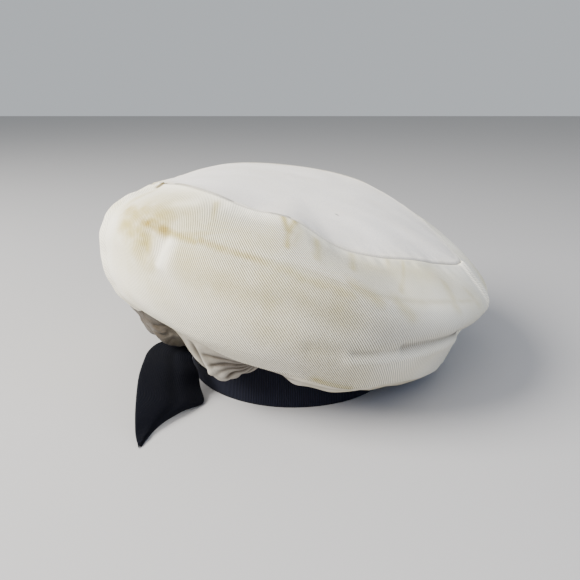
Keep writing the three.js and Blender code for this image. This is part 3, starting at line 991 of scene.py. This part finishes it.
def undersideGrid():
    azimuth = np.linspace(0, 360, underside["columns"], endpoint=False)
    surface = undersideColumns(azimuth, underside["rows"], undersideGathers)
    above, _ = sideColumns(azimuth, neighbourRows["side"])
    whole = np.concatenate([above[:, -3:-1], surface], axis=1)
    normals = gridNormals(whole, True)[:, 2:]
    steps = np.linalg.norm(np.diff(surface, axis=1), axis=2)
    away = np.concatenate([np.zeros((len(surface), 1)), np.cumsum(steps, axis=1)], axis=1)
    length = away[:, -1:]
    degree = math.radians(1) * underside["meanReach"]
    arc = azimuth[:, None] * degree + 0 * away
    pleats = underside["pleats"]
    pleating = softNoise(arc + pleats["lean"] * away, pleats["stretch"] * away, pleats["cell"], pleats["seed"])
    lift = swells(arc, away, **underside["swells"]) + pleats["height"] * pleating
    creaseShade = 0 * away
    for *line, height, spread, grimeAndShade in zip(*undersideFolds.values()):
        fade = lineFade(azimuth, away, length, line, spread, degree)
        lift += height * fade
        creaseShade = np.maximum(creaseShade, grimeAndShade * fade)
    lift = lift * fadeIn(away, underside["edgeFade"]) + valley(away, **underside["edgeValley"])
    grid = surface + normals * lift[..., None]

    # One more row is sewn in under the band's top.
    seamAllowance = 6
    sewn = polar(azimuth, bandReach(azimuth, bandForm["gap"]), bandForm["height"] + bandForm["gap"])
    grid = np.concatenate([grid, sewn[:, None]], axis=1)
    away = np.concatenate([away, length + seamAllowance], axis=1)
    arc = np.concatenate([arc, arc[:, -1:]], axis=1)
    creaseShade = np.concatenate([creaseShade, creaseShade[:, -1:]], axis=1)
    # Painted shade in the hollows of the pleats.
    creaseShade[:, :-1] += pleats["grimeAndShade"] * np.clip(-pleating, 0, 1)

    # Painted shade round the cap, strongest over the pouches.
    pouchShade = np.interp(azimuth, undersideShadeAndYellow["azimuth"], undersideShadeAndYellow["grimeAndShade"])[:, None]
    aged = np.interp(azimuth, undersideShadeAndYellow["azimuth"], undersideShadeAndYellow["yellow"])[:, None]
    line = underside["darkerBand"]
    grimeAndShade = creaseShade + pouchShade + line["grimeAndShade"] * bell(away - line["away"], line["spread"])
    masks = {"yellow": aged + 0 * away, "grimeAndShade": np.clip(grimeAndShade, 0, 1)}
    return grid, np.stack([arc, away], axis=-1), masks


undersidePoints, undersideWeave, undersideMasks = undersideGrid()
undersideCloth = sheetObject("undersideCloth", undersidePoints, underside["wall"], undersideWeave,
                             undersideMasks, closed=True)
settle(undersideCloth, "crown_underside", "plain_white")
print("underside made")


# Band

band = {
    "columns": 740,
    "rows": 26,
    "wall": 1.8,
    "meanReach": 90,
    "swells": {"heights": [0.35, 0.15], "cells": [40, 11], "seeds": [31, 32]},
    "swellFade": 6,
    "edgeRoll": 0.5,
    "edgeRollReach": 0.7,
}


def bandGrid():
    azimuth = np.linspace(0, 360, band["columns"], endpoint=False)
    share = np.linspace(0, 1, band["rows"])[None, :]
    up = bandForm["height"] * (1 - share) + 0 * azimuth[:, None]
    arc = np.radians(azimuth)[:, None] * band["meanReach"] + 0 * up
    edge = np.minimum(up, bandForm["height"] - up)
    roll = -band["edgeRoll"] * np.exp(-edge / band["edgeRollReach"])
    wave = swells(arc, up, **band["swells"]) * np.clip(edge / band["swellFade"], 0, 1)
    reach = bandReach(azimuth, bandForm["wall"])[:, None] + roll + wave
    return polar(azimuth[:, None], reach, up), np.stack([arc, up], axis=-1), {"grimeAndShade": 0 * up}


bandPoints, bandWeave, bandMasks = bandGrid()
bandCloth = sheetObject("bandCloth", bandPoints, band["wall"], bandWeave, bandMasks, closed=True)
settle(bandCloth, "band", "navy_rib")
print("band made")


# Ribbon tail

# The gap is the tail's from the band, and the ground is how high its lowest points lie.
tail = {
    "azimuth": 210,
    "reach": 106,
    "crown": 4,
    "gap": 0.3,
    "ground": 1.4,
    "columns": 150,
    "rows": 56,
    "wall": 0.9,
    "swell": {"height": 0.5, "cell": 16, "seed": 41},
    "swellFade": 5,
    "foldShare": 0.52,
    "foldSpread": 0.11,
    "foldDepth": 0.9,
    "hem": {"height": 0.5, "offset": 6, "width": 0.9},
    "edgeRoll": 0.4,
    "edgeRollReach": 0.8,
    "ribSquash": 1.3,
    # Painted shade over the whole tail, a little more in its middle fold and less along the hem.
    "dark": {"all": 0.9, "fold": 0.1, "hem": -0.5},
}
# Out and side are shares of the tail's reach from the band, up is a share of the band's height.
tailSections = table(
    ["leftOut", "leftSide", "leftUp", "rightOut", "rightSide", "rightUp"],
    [
        [0, -0.119, 0.4, 0, 0.079, 0.36],
        [0.006, -0.128, 0.72, 0.006, 0.11, 0.66],
        [0.12, -0.132, 0.84, 0.048, 0.12, 0.8],
        [0.255, -0.108, 0.85, 0.089, 0.125, 0.77],
        [0.362, -0.021, 0.85, 0.105, 0.15, 0.66],
        [0.439, 0.065, 0.82, 0.103, 0.2, 0.5],
        [0.543, 0.156, 0.7, 0.12, 0.243, 0.24],
        [0.633, 0.226, 0.5, 0.19, 0.333, 0],
        [0.724, 0.289, 0.29, 0.342, 0.315, 0],
        [0.793, 0.335, 0.09, 0.54, 0.322, 0],
        [0.836, 0.371, 0, 0.786, 0.366, 0],
    ],
)


def tailGrid():
    edges = []
    for name in ("right", "left"):
        places = np.stack([tailSections[name + part] for part in ("Out", "Side", "Up")], axis=1)
        edges.append(smoothPath(places[None], tail["columns"], even=False)[0])
    share = np.linspace(0, 1, tail["rows"])[None, :]
    places = edges[0][:, None] * (1 - share[..., None]) + edges[1][:, None] * share[..., None]
    bow = np.sin(math.pi * np.linspace(0, 1, tail["columns"]))[:, None] * tail["crown"] / tail["reach"]
    out, aside, up = places[..., 0], places[..., 1] + bow * np.sin(math.pi * share), places[..., 2]
    nearBand = bandReach(np.array(tail["azimuth"]), bandForm["wall"])
    turned = tail["azimuth"] + np.degrees(aside * tail["reach"] / nearBand)
    reach = bandReach(turned, bandForm["wall"]) + tail["gap"] + tail["reach"] * np.maximum(0, out)
    grid = polar(turned, reach, tail["ground"] + bandForm["height"] * up)
    normals = gridNormals(grid, False)
    width = np.linalg.norm(grid[:, -1] - grid[:, 0], axis=1)[:, None]
    middle = grid[:, tail["rows"] // 2]
    lengthways = np.concatenate([[0], np.cumsum(np.linalg.norm(np.diff(middle, axis=0), axis=1))])
    across = share * width
    down = lengthways[:, None] + 0 * across
    edge = np.minimum(across, width - across)
    fromCut = lengthways[-1] - down
    fold = bell(share - tail["foldShare"], tail["foldSpread"])
    swell = tail["swell"]
    lift = swell["height"] * softNoise(down, across, swell["cell"], swell["seed"])
    lift = lift * np.clip(edge / tail["swellFade"], 0, 1) - tail["foldDepth"] * fold
    lift += ridge(fromCut, **tail["hem"]) - tail["edgeRoll"] * np.exp(-edge / tail["edgeRollReach"])
    grid = grid + normals * lift[..., None]
    # The tail's mask is painted shade.
    dark, hem = tail["dark"], tail["hem"]
    grimeAndShade = dark["all"] + dark["fold"] * fold + dark["hem"] * bell(fromCut - hem["offset"], hem["width"])
    return grid, np.stack([across / tail["ribSquash"], down], axis=-1), {"grimeAndShade": np.clip(grimeAndShade, 0, 1)}


tailPoints, tailWeave, tailMasks = tailGrid()
tailRibbon = sheetObject("tailRibbon", tailPoints, tail["wall"], tailWeave, tailMasks)
settle(tailRibbon, "tail", "navy_rib")
print("tail made")


# Floor and light

def addStage():
    mesh = bpy.data.meshes.new("floor")
    far = 4
    mesh.from_pydata([(-far, -far, 0), (far, -far, 0), (far, far, 0), (-far, far, 0)], [], [(0, 1, 2, 3)])
    floor = bpy.data.objects.new("floor", mesh)
    material = bpy.data.materials.new("paleFloor")
    material.use_nodes = True
    surface = material.node_tree.nodes["Principled BSDF"]
    surface.inputs["Base Color"].default_value = colour(172, 170, 169)
    surface.inputs["Roughness"].default_value = 0.8
    mesh.materials.append(material)
    bpy.context.scene.collection.objects.link(floor)


def addLight(name, place, aim, size, power, tint):
    data = bpy.data.lights.new(name, "AREA")
    data.shape = "DISK"
    data.size = size
    data.energy = power
    data.color = tint
    light = bpy.data.objects.new(name, data)
    light.location = place
    light.rotation_euler = (Vector(aim) - Vector(place)).to_track_quat("-Z", "Y").to_euler()
    bpy.context.scene.collection.objects.link(light)


addStage()
crownMiddle = (0, 0, 0.08)
addLight("windowKey", (-1.35, -0.58, 1.2), crownMiddle, 1.1, 98, (1.0, 0.98, 0.94))
addLight("ceilingSoft", (-0.35, -1.2, 1.4), crownMiddle, 1.3, 17, (1.0, 0.985, 0.965))
addLight("roomFill", (1.3, -0.9, 0.8), crownMiddle, 1.0, 9, (0.37, 0.54, 1.0))

room = {"colour": (0.9, 0.95, 1.0, 1), "strength": 0.58}
world = bpy.data.worlds.new("softRoom")
world.use_nodes = True
background = world.node_tree.nodes["Background"]
background.inputs["Color"].default_value = room["colour"]
background.inputs["Strength"].default_value = room["strength"]
bpy.context.scene.world = world
print("stage and lights set")
